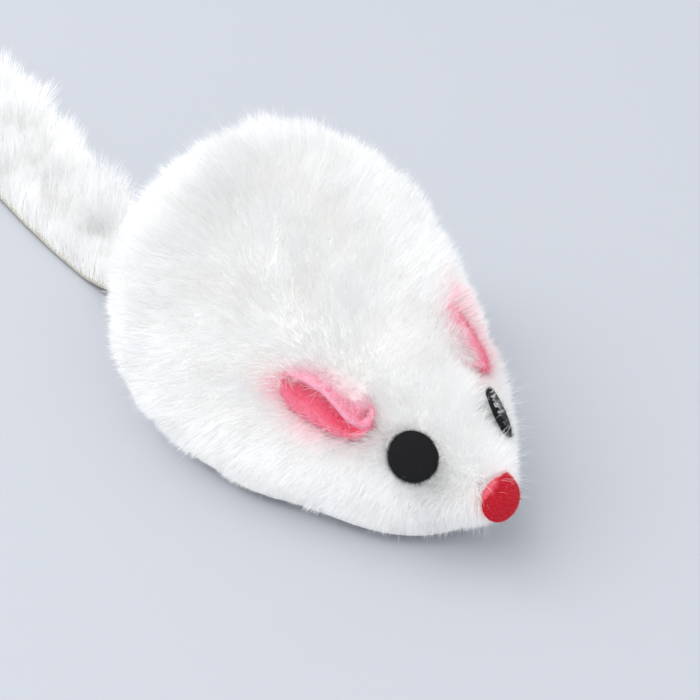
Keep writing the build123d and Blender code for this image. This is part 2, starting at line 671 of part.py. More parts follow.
for side_name, side in (("left", 1), ("right", -1)):
    with BuildPart() as wheel:
        drive_wheel(side)
    finish(wheel, f"drive_wheel_{side_name}")
    with BuildPart() as tyre:
        drive_tyre(side)
        tread = tyre.edges().filter_by(GeomType.CIRCLE).group_by(SortBy.RADIUS)[-1]
        fillet(tread, TYRE_ROUND)
    finish(tyre, f"drive_tyre_{side_name}")

with BuildPart() as roller_pin:
    rod((-ROLLER_EAR_X[1], ROLLER_EAR_X[1]), (ROLLER_Y, ROLLER_RADIUS), ROLLER_PIN_RADIUS)
finish(roller_pin, "roller_pin")

with BuildPart() as rear_roller:
    rod((-ROLLER_HALF_WIDTH, ROLLER_HALF_WIDTH), (ROLLER_Y, ROLLER_RADIUS), ROLLER_RADIUS)
    fillet(rear_roller.edges().filter_by(GeomType.CIRCLE), ROLLER_ROUND)
    rod(
        (-ROLLER_HALF_WIDTH, ROLLER_HALF_WIDTH),
        (ROLLER_Y, ROLLER_RADIUS),
        ROLLER_PIN_RADIUS,
        Mode.SUBTRACT,
    )
finish(rear_roller, "rear_roller")

# ---------------------------------------------------------------- key
with BuildPart() as winding_key:
    rod(KEY_HUB_X, ARBOR_YZ, KEY_HUB_RADIUS)
    key_plane = Plane((0, *ARBOR_YZ), x_dir=(1, 0, 0), z_dir=(0, 0, 1))
    lobes = [(KEY_TIP_X - KEY_LOBE_RADIUS, side * KEY_LOBE_SPREAD) for side in (-1, 1)]
    with BuildSketch(key_plane.offset(-KEY_THICKNESS / 2)):
        with Locations(lobes):
            Circle(KEY_LOBE_RADIUS)
        with Locations((KEY_HUB_X[1], 0)):
            Circle(KEY_HUB_RADIUS)
        make_hull()
        with Locations(lobes):
            Circle(KEY_EYE_RADIUS, mode=Mode.SUBTRACT)
    extrude(amount=KEY_THICKNESS)
    rod((KEY_HUB_X[0], KEY_HUB_X[0] + KEY_SOCKET_DEPTH), ARBOR_YZ, ARBOR_RADIUS, Mode.SUBTRACT)
finish(winding_key, "winding_key")
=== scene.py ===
"""Looks of the clockwork mouse: plush pile, felt trim, plush tail, and finishes for the hidden motor.

Metres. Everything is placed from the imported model. The mouse faces -Y, +X is its left side.
"""

import json
import math

import bpy
import numpy as np
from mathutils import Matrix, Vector, kdtree, noise
from mathutils.bvhtree import BVHTree


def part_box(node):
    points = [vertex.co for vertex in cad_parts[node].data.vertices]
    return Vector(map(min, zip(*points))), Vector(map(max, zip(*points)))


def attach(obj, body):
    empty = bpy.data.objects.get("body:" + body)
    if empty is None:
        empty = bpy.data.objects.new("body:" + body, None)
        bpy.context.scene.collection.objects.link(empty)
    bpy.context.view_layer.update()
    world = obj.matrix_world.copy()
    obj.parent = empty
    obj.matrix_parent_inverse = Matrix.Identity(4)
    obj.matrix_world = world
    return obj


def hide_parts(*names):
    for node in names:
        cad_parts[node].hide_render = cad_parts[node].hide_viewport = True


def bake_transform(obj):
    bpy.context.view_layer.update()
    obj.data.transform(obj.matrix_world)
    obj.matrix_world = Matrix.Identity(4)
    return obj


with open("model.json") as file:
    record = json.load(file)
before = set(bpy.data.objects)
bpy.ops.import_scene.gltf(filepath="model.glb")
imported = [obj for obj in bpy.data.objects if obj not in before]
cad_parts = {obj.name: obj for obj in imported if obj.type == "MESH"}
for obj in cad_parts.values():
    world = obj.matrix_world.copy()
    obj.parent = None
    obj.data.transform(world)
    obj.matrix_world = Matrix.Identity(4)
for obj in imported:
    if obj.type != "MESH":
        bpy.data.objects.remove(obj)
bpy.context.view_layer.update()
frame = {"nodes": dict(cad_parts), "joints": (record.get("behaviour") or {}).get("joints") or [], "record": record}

MM = 0.001
JOINTS = {joint["name"]: joint for joint in frame["joints"]}
SCENE = bpy.context.scene
SEED = 7

# ---------------------------------------------------------------- driving values
# Plush
SKIN_VOXEL = 0.6 * MM
PILE_SHARE = 0.72  # of the room between the plush's outside and the shell
PILE_DEEPEST = 3.4 * MM
BODY_STRANDS_PER_MM2 = 24.0
FACE_STRANDS_PER_MM2 = 38.0
STRANDS_PER_CLUMP = 14
STRAND_HALF_WIDTH = 0.040 * MM
STRAND_LEVELS = np.array([0.0, 0.4, 0.75, 1.0])
STRAND_TAPER = np.array([1.0, 0.85, 0.55, 0.0])
STRAND_TWIST = 0.35  # how far the strands' flat sides stray from facing outward
STRANDS_PER_PIECE = 39000
RELIEF_SCALE = 250.0  # of the noise that makes soft lumps in the pile, per metre
HEM_GAP = 1.0 * MM
HEM_TUFT_SCALE = 420.0  # of the noise that makes tufts along the hem, per metre
KEY_CLEARING = 6.6 * MM
TAIL_SLOT_HALF_WIDTH = 5.7 * MM  # of the bare patch over the tail's seam
STRAND_CURL = 0.5  # how far a strand bends towards its lean
CLUMP_CURL = 0.55
STRAY_SHARE = 0.06
PARTING_SCALE = 160  # of the slow random lean that parts the pile, per metre
TUFT_SCALE = 420
COMB_STRENGTH = 0.55
OVER_TAIL_LEAN = np.array([0.0, 0.1, -1.5])  # down over the tail's root
TAIL_OVERHANG = 1.6 * MM  # extra pile over the tail's root
HEM_LUMP = 0.9 * MM  # extra pile on the crests near the hem
EYE_CLEAR = 2.65 * MM  # bare round each eye
EYE_CLEAR_INNER = 2.35 * MM  # bare at the left eye's upper inner rim, which the pile overhangs
EYE_SKIRT = 0.7 * MM  # extra pile there
EYE_OVERHANG_SHARE = 0.35  # of the strands there, that lean over the eye
EAR_CLEAR = -0.25 * MM
NOSE_CLEAR = 0.2 * MM
# Painted pink glow on the white pile near the felt, out to these reaches from the ears and the nose.
PINK_GLOW_REACHES = (3.0 * MM, 1.2 * MM, 0.55 * MM)  # from the ear's rim, faint to strong
NOSE_PINK_GLOW_REACH = 0.8 * MM

# Camera, at the photograph's viewing angle
CAMERA_AZIMUTH = -38.4  # degrees round from straight ahead, towards the mouse's right
CAMERA_ELEVATION = 38.0
CAMERA_DISTANCE = 0.399
CAMERA_LENS = 172.8  # mm, on a sensor 36 mm wide
CAMERA_TARGET = (0.96 * MM, -1.09 * MM, 13.3 * MM)


# ---------------------------------------------------------------- materials
def material(name, colour, roughness, specular, metallic=0.0):
    made = bpy.data.materials.new(name)
    made.use_nodes = True
    shader = made.node_tree.nodes["Principled BSDF"]
    shader.inputs["Base Color"].default_value = (*colour, 1.0)
    shader.inputs["Roughness"].default_value = roughness
    shader.inputs["Specular IOR Level"].default_value = specular
    shader.inputs["Metallic"].default_value = metallic
    made.diffuse_color = (*colour, 1.0)
    return made


def mottle(made, colour, other, scale, bump=0.0):
    """Gives a material a noise that runs between two colours, and with bump a noisy surface."""
    nodes, links = made.node_tree.nodes, made.node_tree.links
    shader = nodes["Principled BSDF"]
    place = nodes.new("ShaderNodeTexCoord")
    speckle = nodes.new("ShaderNodeTexNoise")
    speckle.inputs["Scale"].default_value = scale
    speckle.inputs["Detail"].default_value = 3.0
    links.new(place.outputs["Object"], speckle.inputs["Vector"])
    ramp = nodes.new("ShaderNodeValToRGB")
    ramp.color_ramp.elements[0].position = 0.35
    ramp.color_ramp.elements[1].position = 0.65
    ramp.color_ramp.elements[0].color = (*other, 1.0)
    ramp.color_ramp.elements[1].color = (*colour, 1.0)
    links.new(speckle.outputs["Fac"], ramp.inputs["Fac"])
    links.new(ramp.outputs["Color"], shader.inputs["Base Color"])
    if bump:
        grain = nodes.new("ShaderNodeTexNoise")
        grain.inputs["Scale"].default_value = scale * 2
        grain.inputs["Detail"].default_value = 4.0
        links.new(place.outputs["Object"], grain.inputs["Vector"])
        lift = nodes.new("ShaderNodeBump")
        lift.inputs["Strength"].default_value = bump
        lift.inputs["Distance"].default_value = 0.1 * MM
        links.new(grain.outputs["Fac"], lift.inputs["Height"])
        links.new(lift.outputs["Normal"], shader.inputs["Normal"])
    return made


WHITE = (0.97, 0.97, 0.97)
PILE = material("pile_white", WHITE, 0.9, 0.15)
# Warm is white in painted shade, given to more strands in the pile's hollows.
PILE_WARM_SHADE = material("pile_warm_shade", (0.95, 0.943, 0.928), 0.9, 0.15)
PILE_COOL = material("pile_cool", (0.935, 0.94, 0.95), 0.9, 0.15)
# Pile whites with a painted pink glow, faint to strong, for strands near the ears and the nose.
PINK_GLOW = [
    material("pile_pink_glow_1", (0.97, 0.925, 0.92), 0.9, 0.15),
    material("pile_pink_glow_2", (0.97, 0.84, 0.85), 0.9, 0.15),
    material("pile_pink_glow_3", (0.97, 0.71, 0.76), 0.9, 0.15),
]
TAIL_CLOTH = (0.60, 0.57, 0.51)
BACKING = mottle(material("plush_backing", WHITE, 0.95, 0.1), WHITE, (0.86, 0.85, 0.82), 900)
TAIL_BACKING = mottle(
    material("tail_backing", TAIL_CLOTH, 0.95, 0.1), TAIL_CLOTH, (0.50, 0.48, 0.43), 1500
)


def felt(name, roughness, grain_scale, bump):
    """Felt whose colour is painted on the mesh and broken up by a fine speckle."""
    made = material(name, (0.5, 0.5, 0.5), roughness, 0.15)
    nodes, links = made.node_tree.nodes, made.node_tree.links
    shader = nodes["Principled BSDF"]
    paint = nodes.new("ShaderNodeVertexColor")
    paint.layer_name = "paint"
    place = nodes.new("ShaderNodeTexCoord")
    speckle = nodes.new("ShaderNodeTexNoise")
    speckle.inputs["Scale"].default_value = grain_scale
    speckle.inputs["Detail"].default_value = 4.0
    links.new(place.outputs["Object"], speckle.inputs["Vector"])
    ramp = nodes.new("ShaderNodeValToRGB")
    ramp.color_ramp.elements[0].position = 0.3
    ramp.color_ramp.elements[1].position = 0.6
    ramp.color_ramp.elements[0].color = (0.92, 0.92, 0.93, 1.0)
    ramp.color_ramp.elements[1].color = (1.0, 1.0, 1.0, 1.0)
    links.new(speckle.outputs["Fac"], ramp.inputs["Fac"])
    mix = nodes.new("ShaderNodeMixRGB")
    mix.blend_type = "MULTIPLY"
    mix.inputs["Fac"].default_value = 1.0
    links.new(paint.outputs["Color"], mix.inputs["Color1"])
    links.new(ramp.outputs["Color"], mix.inputs["Color2"])
    links.new(mix.outputs["Color"], shader.inputs["Base Color"])
    lift = nodes.new("ShaderNodeBump")
    lift.inputs["Strength"].default_value = bump
    lift.inputs["Distance"].default_value = 0.1 * MM
    links.new(speckle.outputs["Fac"], lift.inputs["Height"])
    links.new(lift.outputs["Normal"], shader.inputs["Normal"])
    return made


PINK = felt("felt_pink", 0.9, 5000, 0.5)
RED = felt("felt_red", 0.85, 5000, 0.6)
BLACK = felt("felt_black", 0.9, 5000, 0.6)
PINK_FUZZ = material("fuzz_pink", (0.97, 0.27, 0.39), 0.9, 0.1)
# Pale fuzz is painted light, for the fibres on the ear's folded half.
PALE_LIT_FUZZ = material("fuzz_pale_lit", (0.98, 0.72, 0.78), 0.9, 0.1)
RED_FUZZ = material("fuzz_red", (0.80, 0.07, 0.10), 0.9, 0.1)
BLACK_FUZZ = material("fuzz_black", (0.035, 0.035, 0.037), 0.9, 0.1)


# ---------------------------------------------------------------- mesh helpers
def as_arrays(mesh):
    """Points, vertex normals and triangles of a mesh."""
    points = np.zeros(len(mesh.vertices) * 3)
    mesh.vertices.foreach_get("co", points)
    normals = np.zeros(len(mesh.vertices) * 3)
    mesh.vertices.foreach_get("normal", normals)
    mesh.calc_loop_triangles()
    triangles = np.zeros(len(mesh.loop_triangles) * 3, int)
    mesh.loop_triangles.foreach_get("vertices", triangles)
    return points.reshape(-1, 3), normals.reshape(-1, 3), triangles.reshape(-1, 3)


def tree_of(node):
    """A CAD node's surface, for the nearest point on it and for casting rays at it."""
    mesh = frame["nodes"][node].data
    return BVHTree.FromPolygons([v.co for v in mesh.vertices], [p.vertices for p in mesh.polygons])


def piece(name, mesh, finish):
    """An object in the scene with that mesh, smooth shaded, and its finish or list of finishes."""
    made = bpy.data.objects.new(name, mesh)
    SCENE.collection.objects.link(made)
    for each in finish if isinstance(finish, list) else [finish]:
        mesh.materials.append(each)
    mesh.polygons.foreach_set("use_smooth", np.ones(len(mesh.polygons), bool))
    return made


def remeshed(node, voxel):
    """A closed, evenly meshed and lightly smoothed copy of a CAD node's surface."""
    copy = bpy.data.objects.new(node + "_copy", frame["nodes"][node].data.copy())
    SCENE.collection.objects.link(copy)
    weld = copy.modifiers.new("weld", "WELD")
    weld.merge_threshold = 0.001 * MM
    even = copy.modifiers.new("even", "REMESH")
    even.mode = "VOXEL"
    even.voxel_size = voxel
    soft = copy.modifiers.new("soft", "SMOOTH")
    soft.iterations = 4
    mesh = bpy.data.meshes.new_from_object(copy.evaluated_get(bpy.context.evaluated_depsgraph_get()))
    bpy.data.objects.remove(copy)
    mesh.materials.clear()
    return mesh


def unit(vectors):
    return vectors / np.maximum(np.linalg.norm(vectors, axis=-1, keepdims=True), 1e-12)


def smoothstep(low, high, values):
    t = np.clip((values - low) / (high - low), 0, 1)
    return t * t * (3 - 2 * t)


def scattered(points, triangles, weights, count, rng):
    """count random places on a surface, as dense as the vertex weights say.

    Each comes as its triangle's corners and how much of each corner is in it, for blended() to use.
    """
    a, b, c = (points[triangles[:, i]] for i in range(3))
    area = np.linalg.norm(np.cross(b - a, c - a), axis=1) / 2
    share = area * weights[triangles].mean(axis=1)
    chosen = rng.choice(len(triangles), count, p=share / share.sum())
    u, v = rng.random((2, count, 1))
    u, v = np.where(u + v > 1, 1 - u, u), np.where(u + v > 1, 1 - v, v)
    corner = triangles[chosen]
    mix = np.concatenate([1 - u - v, u, v], axis=1)
    return mix, corner


def blended(values, mix, corner):
    """Vertex values carried over to scattered places."""
    if values.ndim == 1:
        return (values[corner] * mix).sum(axis=1)
    return (values[corner] * mix[:, :, None]).sum(axis=1)


def strand_mesh(name, lines, half_widths, rng, kinds=None, outward=None):
    """Tapered flat strands. lines is strands x levels x 3; kinds is each strand's material index.

    With outward, the strands' flat sides face mostly that way, as those of combed pile do.
    """
    count, levels = lines.shape[:2]
    along = unit(lines[:, -1] - lines[:, 0])
    facing = rng.normal(size=(count, 3))
    if outward is not None:
        facing = outward + STRAND_TWIST * facing
    across = unit(np.cross(along, facing))
    taper = STRAND_TAPER[None, :-1, None] * half_widths[:, None, None]
    left = lines[:, :-1] - across[:, None] * taper
    right = lines[:, :-1] + across[:, None] * taper
    sides = np.stack([left, right], axis=2).reshape(count, -1, 3)
    points = np.concatenate([sides, lines[:, -1:]], axis=1)
    per_strand = points.shape[1]
    local, sizes = [], []
    for level in range(levels - 2):
        local += [2 * level, 2 * level + 1, 2 * level + 3, 2 * level + 2]
        sizes.append(4)
    local += [per_strand - 3, per_strand - 2, per_strand - 1]
    sizes.append(3)
    loops = (np.arange(count)[:, None] * per_strand + np.array(local)[None]).ravel()
    sizes = np.tile(np.array(sizes), count)
    mesh = bpy.data.meshes.new(name)
    mesh.vertices.add(points.shape[0] * per_strand)
    mesh.vertices.foreach_set("co", points.astype(np.float32).ravel())
    mesh.loops.add(len(loops))
    mesh.loops.foreach_set("vertex_index", loops.astype(np.int32))
    mesh.polygons.add(len(sizes))
    mesh.polygons.foreach_set("loop_start", (np.cumsum(sizes) - sizes).astype(np.int32))
    if kinds is not None:
        mesh.polygons.foreach_set("material_index", np.repeat(kinds, levels - 1).astype(np.int32))
    mesh.update(calc_edges=True)
    return mesh


def grown(roots, normals, lengths, lean, curl, rng, jitter=0.18):
    """Strand centre lines that leave along the normal and bend towards lean."""
    first = unit(normals + 0.25 * lean + jitter * rng.normal(size=roots.shape))
    t = STRAND_LEVELS[None, :, None]
    reach = lengths[:, None, None]
    bend = (lean * curl)[:, None]
    return roots[:, None] + reach * (t * first[:, None] + t * t * bend)


def gathered(lines, centres, centre_lines, pull):
    """Draws each strand's tip towards the tip of its nearest clump's middle strand."""
    tree = kdtree.KDTree(len(centres))
    for index, spot in enumerate(centres):
        tree.insert(spot, index)
    tree.balance()
    nearest = np.array([tree.find(spot)[1] for spot in lines[:, 0]])
    own = lines - lines[:, :1]
    shared = centre_lines[nearest] - lines[:, :1]
    t = (STRAND_LEVELS**1.3)[None, :, None] * pull[:, None, None]
    length = np.linalg.norm(own[:, -1] - own[:, 0], axis=1)[:, None, None]
    mixed = own * (1 - t) + shared * t
    mixed_length = np.linalg.norm(mixed[:, -1], axis=1)[:, None, None]
    return lines[:, :1] + mixed * (0.5 + 0.5 * length / np.maximum(mixed_length, 1e-9)), nearest


# ---------------------------------------------------------------- where the ears and eyes sit
EYE_INNER = (-0.60, -0.05, 0.85)  # from the left eye's middle towards its upper inner rim
EAR_NORMAL = (0.68, -0.30, 0.66)
EAR_RUN = (0.30, 0.92, 0.12)
EAR_HALF_LENGTH = 6.1 * MM
EAR_HALF_WIDTH = 3.0 * MM
EAR_LIFT = -0.3 * MM
EAR_OPEN_SHIFT = -0.8 * MM  # of the part that the pile leaves open, across the ear
EAR_OPEN_HALF_WIDTH = 2.3 * MM
EAR_VEIL_HAIRS = {1: 3200, -1: 2600}  # over the left ear and the right one
EAR_VEIL_HALF_WIDTH = 0.024 * MM
# The ear's colours carry painted light and shade. The petal's coral is partly the felt's own colour and partly
# painted shade, deepest in the hollow by the crease and in the pinch. The rim colour is painted light on the
# petal's lower edge, and pale is painted light on the folded half.
EAR_CORAL = np.array([0.98, 0.075, 0.16])
EAR_PINK = np.array([0.98, 0.29, 0.43])
EAR_RIM_LIT = np.array([0.98, 0.42, 0.56])  # the petal's lower edge
EAR_PALE_LIT = np.array([0.98, 0.62, 0.74])


def mirrored(vector, side):
    return np.array([vector[0] * side, vector[1], vector[2]])


def middle_of(node):
    return np.array(sum(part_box(node), Vector()) / 2)


def ear_axes(name, side):
    """An ear's centre, and the directions along it, up across it and out of the fur."""
    normal = unit(mirrored(EAR_NORMAL, side))
    centre = middle_of(name) + EAR_LIFT * normal
    run = mirrored(EAR_RUN, side)
    run = unit(run - normal * (run @ normal))
    across = np.cross(run, normal)
    return centre, run, across if across[2] > 0 else -across, normal


# ---------------------------------------------------------------- plush body
rng = np.random.default_rng(SEED)
noise.seed_set(SEED)  # or else noise_vector starts from the clock
form = remeshed("fur_body", SKIN_VOXEL)
points, normals, triangles = as_arrays(form)
shell = tree_of("shell_upper")
arbor = np.array(JOINTS["key_wind"]["pos_m"])
SPINE_RUN = (-18 * MM, 12 * MM)  # a line inside the body that the plush's outside faces away from
SPINE_HEIGHT = 10.5 * MM
spine = np.stack(
    [np.zeros(len(points)), np.clip(points[:, 1], *SPINE_RUN), np.full(len(points), SPINE_HEIGHT)], axis=1
)
outward = unit(points - spine)
facing = smoothstep(0.25, 0.6, (outward * normals).sum(axis=1))
under = smoothstep(0.45, 0.8, -normals[:, 2]) * smoothstep(3.5 * MM, 2.0 * MM, points[:, 2])
from_arbor = np.hypot(points[:, 1] - arbor[1], points[:, 2] - arbor[2])
at_key = (points[:, 0] > 12 * MM) & (from_arbor < KEY_CLEARING)
low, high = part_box("tail_strip")
at_tail = (
    (points[:, 1] > low.y - 1.5 * MM)
    & (np.abs(points[:, 0]) < TAIL_SLOT_HALF_WIDTH)
    & (points[:, 2] < high.z + 0.5 * MM)
)
outer = facing * (1 - under) * ~at_key * ~at_tail
room = np.array([shell.find_nearest(Vector(p))[3] for p in points])
depth = np.minimum(PILE_SHARE * room, PILE_DEEPEST) * outer

# The woven backing, under the pile.
backing_mesh = form.copy()
backing_mesh.vertices.foreach_set("co", (points - normals * depth[:, None]).astype(np.float32).ravel())
plush_backing = piece("plush_backing", backing_mesh, BACKING)
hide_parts("fur_body")
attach(plush_backing, "chassis")

face_share = smoothstep(-2 * MM, -16 * MM, points[:, 1])
density = outer * (BODY_STRANDS_PER_MM2 + (FACE_STRANDS_PER_MM2 - BODY_STRANDS_PER_MM2) * face_share)
first, second, third = (points[triangles[:, i]] for i in range(3))
area_mm2 = np.linalg.norm(np.cross(second - first, third - first), axis=1) / 2 / MM**2
strand_count = int((area_mm2 * density[triangles].mean(axis=1)).sum())


def felt_guard(places):
    """For each place: how far past the ear's rim it is, the lean that clears the ear, how far it is
    from the nearer eye, that eye's centre, and how far it is from the nose."""
    ear_side = np.where(places[:, 0] > 0, 1.0, -1.0)
    to_ear = np.zeros(len(places))
    past_ear = np.zeros((len(places), 3))
    for side_name, side in (("left", 1), ("right", -1)):
        centre, run, across, _ = ear_axes("ear_" + side_name, side)
        u = (places - centre) @ run
        v = (places - centre) @ across - EAR_OPEN_SHIFT
        share = np.hypot(u / EAR_HALF_LENGTH, v / EAR_OPEN_HALF_WIDTH)
        own = ear_side == side
        to_ear[own] = (np.hypot(u, v) * (1 - 1 / np.maximum(share, 0.05)))[own]
        past_ear[own] = (np.where(v > 0, -0.25, -0.4)[:, None] * across)[own]
    eye_centres = np.array([middle_of("eye_left"), middle_of("eye_right")])
    gaps = np.linalg.norm(places[None] - eye_centres[:, None], axis=2)
    nose_surface = tree_of("nose_patch")
    to_nose = np.array([nose_surface.find_nearest(Vector(p))[3] for p in places])
    return to_ear, past_ear, gaps.min(axis=0), eye_centres[gaps.argmin(axis=0)], to_nose


def body_strands(count):
    """Places, normals and the pile's depth for strands all over the body."""
    mix, corner = scattered(points, triangles, density, count, rng)
    place = blended(points, mix, corner)
    normal = unit(blended(normals, mix, corner))
    return place, normal, blended(depth, mix, corner)


def combed(place, normal):
    """The direction the pile is brushed, along the surface: backward, and down the flanks."""
    comb = np.tile(np.array([0.0, 1.0, -0.35]), (len(place), 1))
    comb[:, 2] -= 0.5 * smoothstep(10 * MM, 3 * MM, place[:, 2])
    comb[:, 0] += 0.25 * np.sign(place[:, 0]) * smoothstep(20 * MM, 6 * MM, place[:, 2])
    comb -= normal * (comb * normal).sum(axis=1, keepdims=True)
    return comb


def swirl(place, scale, strength):
    """A slow random lean that makes partings and tufts."""
    return strength * np.array([noise.noise_vector(Vector(p) * scale) for p in place])


def relief(place):
    """The plush's soft lumps, from about -1 in the hollows to 1 on the crests."""
    return np.array([noise.noise(Vector(p) * RELIEF_SCALE) for p in place]) * 1.6


def tinted(clumps, own, lumps, warm_below, cool_above):
    """Each strand's colour, 0 white, 1 warm or 2 cool, by its clump, by chance and by the lumps. Warm is white in
    painted shade and falls more often in the hollows; cool falls more often on the crests.
    """
    tint = 0.35 * rng.random(clumps)[own] + 0.3 * rng.random(len(own)) + 0.35 * (0.5 + 0.5 * lumps)
    return np.where(tint < warm_below, 1, np.where(tint > cool_above, 2, 0))


def lengths_for(place, room_here, lumps, chance):
    """The pile's length: to the CAD surface and a little past it, most on the top of the back."""
    top = smoothstep(14 * MM, 30 * MM, place[:, 2]) * smoothstep(-16 * MM, 2 * MM, place[:, 1])
    reach = room_here * 1.04 + (0.15 + 1.0 * top) * MM
    return reach * (0.88 + 0.22 * chance + 0.10 * lumps)


def over_tail_of(place):
    """1 where the pile hangs over the seam at the tail's root, 0 away from it."""
    beside = smoothstep(9 * MM, 6.5 * MM, np.abs(place[:, 0]))
    above = smoothstep(13.5 * MM, 9.5 * MM, place[:, 2])
    return beside * above * smoothstep(20 * MM, 25 * MM, place[:, 1])


clump_count = strand_count // STRANDS_PER_CLUMP
clump_place, clump_normal, clump_room = body_strands(clump_count)
clump_lean = (
    COMB_STRENGTH * combed(clump_place, clump_normal)
    + swirl(clump_place, PARTING_SCALE, 0.5)
    + swirl(clump_place, TUFT_SCALE, 0.35)
    + 0.30 * rng.normal(size=clump_place.shape)
)
clump_lean += over_tail_of(clump_place)[:, None] * OVER_TAIL_LEAN
clump_lumps = relief(clump_place)
clump_length = lengths_for(clump_place, clump_room, clump_lumps, rng.random(clump_count))
clump_root = clump_place - clump_normal * clump_room[:, None]
clump_lines = grown(clump_root, clump_normal, clump_length, clump_lean, CLUMP_CURL, rng, jitter=0.1)

place, normal, room_here = body_strands(strand_count)
to_ear, past_ear, to_eye, eye_here, to_nose = felt_guard(place)
beside_eye = (eye_here[:, 0] > 0) & ((place - eye_here) @ np.array(EYE_INNER) > 0)
over_eye = beside_eye & (rng.random(len(place)) < EYE_OVERHANG_SHARE)
eye_clear = np.where(beside_eye, EYE_CLEAR_INNER, EYE_CLEAR)
keep = (to_eye > eye_clear) & (to_ear > EAR_CLEAR) & (to_nose > NOSE_CLEAR)
place, normal, room_here = place[keep], normal[keep], room_here[keep]
to_ear, past_ear, to_nose = to_ear[keep], past_ear[keep], to_nose[keep]
to_eye, eye_here, over_eye, beside_eye = to_eye[keep], eye_here[keep], over_eye[keep], beside_eye[keep]

# Which way each strand leans.
stray = rng.random(len(place)) < STRAY_SHARE
on_face = smoothstep(-6 * MM, -16 * MM, place[:, 1])
lean = combed(place, normal) * (COMB_STRENGTH - 0.3 * on_face)[:, None]
lean = lean + swirl(place, PARTING_SCALE, 0.5) + swirl(place, TUFT_SCALE, 0.25)
from_eye = unit(place - eye_here)
push = np.where(over_eye, -0.6, np.where(beside_eye, 0.15, 0.8))
lean += (push * smoothstep(4.6 * MM, 2.9 * MM, to_eye))[:, None] * from_eye
lean += past_ear * smoothstep(2.6 * MM, 0.4 * MM, to_ear)[:, None]
from_key = (place - arbor) * np.array([0.0, 1.0, 1.0])
key_gap = np.linalg.norm(from_key, axis=1)
near_key = smoothstep(9.5 * MM, 6.5 * MM, key_gap) * (place[:, 0] > 0)
lean += 1.2 * unit(from_key) * near_key[:, None]
over_tail = over_tail_of(place)
lean += over_tail[:, None] * OVER_TAIL_LEAN

# How long each strand is.
lumps = relief(place)
length = lengths_for(place, room_here, lumps, rng.random(len(place)))
length *= 1 - 0.3 * smoothstep(4.2 * MM, 2.8 * MM, to_eye) * ~over_eye
length += EYE_SKIRT * smoothstep(3.9 * MM, 2.9 * MM, to_eye) * beside_eye
length *= np.where(stray, rng.uniform(1.05, 1.35 + 0.55 * on_face), 1.0)
length += TAIL_OVERHANG * over_tail
length += HEM_LUMP * smoothstep(7 * MM, 3 * MM, place[:, 2]) * np.maximum(lumps, 0) * (1 - over_tail)

# The strands, drawn together in clumps and cut to tufts along the hem.
jitter = (0.18 + 0.22 * on_face)[:, None]
lines = grown(place - normal * room_here[:, None], normal, length, lean, STRAND_CURL, rng, jitter)
pull = rng.uniform(0.25, 0.75, len(lines)) * (1 - 0.6 * on_face)
pull *= smoothstep(2.8 * MM, 4.5 * MM, to_eye) * smoothstep(0.0, 2.0 * MM, to_ear) * ~stray
lines, own_clump = gathered(lines, clump_root, clump_lines, pull)
tufts = np.array([noise.noise(Vector(p) * HEM_TUFT_SCALE) for p in place])
floor_gap = HEM_GAP * np.clip(1.0 + 2.0 * tufts + rng.uniform(-0.35, 0.35, len(lines)), 0.15, 2.4)
lines[:, :, 2] = np.maximum(lines[:, :, 2], floor_gap[:, None])

# Each strand's colour: 0 white, 1 warm, a painted shade, 2 cool, and 3 to 5 a painted pink glow from the ears'
# felt; 4 also gives that glow near the nose.
kinds = tinted(clump_count, own_clump, lumps, 0.36, 0.74)
glow_chance = rng.random(len(lines))
for step, reach in enumerate(PINK_GLOW_REACHES, 3):
    kinds = np.where(to_ear < reach * (0.6 + 0.8 * glow_chance), step, kinds)
kinds = np.where(to_nose < NOSE_PINK_GLOW_REACH * glow_chance, 4, kinds)
half_width = STRAND_HALF_WIDTH * rng.uniform(0.7, 1.25, len(lines)) * np.where(stray, 0.65, 1.0)
half_width *= 1 - 0.3 * on_face - 0.2 * smoothstep(16 * MM, 26 * MM, place[:, 2])

order = np.argsort(place[:, 1], kind="stable")
for number, chunk in enumerate(np.array_split(order, math.ceil(len(order) / STRANDS_PER_PIECE))):
    name = f"pile_{number + 1}"
    mesh = strand_mesh(name, lines[chunk], half_width[chunk], rng, kinds[chunk], normal[chunk])
    made = piece(name, mesh, [PILE, PILE_WARM_SHADE, PILE_COOL, *PINK_GLOW])
    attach(made, "chassis")
    made.visible_shadow = False

# ---------------------------------------------------------------- felt
# Loose fibres on each kind of felt piece: how many, how long and how wide.
EYE_FUZZ = (2600, 0.36 * MM, 0.016 * MM)
EAR_FUZZ = (12000, 0.55 * MM, 0.016 * MM)
NOSE_FUZZ = (2600, 0.26 * MM, 0.018 * MM)


def fuzz(name, mesh, finishes, count, length, half_width, kind_of=None, share_of=None):
    """Short loose fibres that stand off a felt piece.

    kind_of turns their roots into material indices, share_of the felt's points into how thick they grow.
    """
    spots, directions, faces = as_arrays(mesh)
    share = np.ones(len(spots)) if share_of is None else share_of(spots)
    mix, corner = scattered(spots, faces, share, count, rng)
    root = blended(spots, mix, corner)
    out = unit(blended(directions, mix, corner))
    lean = 0.9 * rng.normal(size=root.shape)
    reach = length * rng.uniform(0.4, 1.3, count)
    strands = grown(root, out, reach, lean, 0.5, rng, jitter=0.5)
    kinds = None if kind_of is None else kind_of(root)
    made = piece(name, strand_mesh(name, strands, np.full(count, half_width), rng, kinds), finishes)
    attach(made, "chassis")


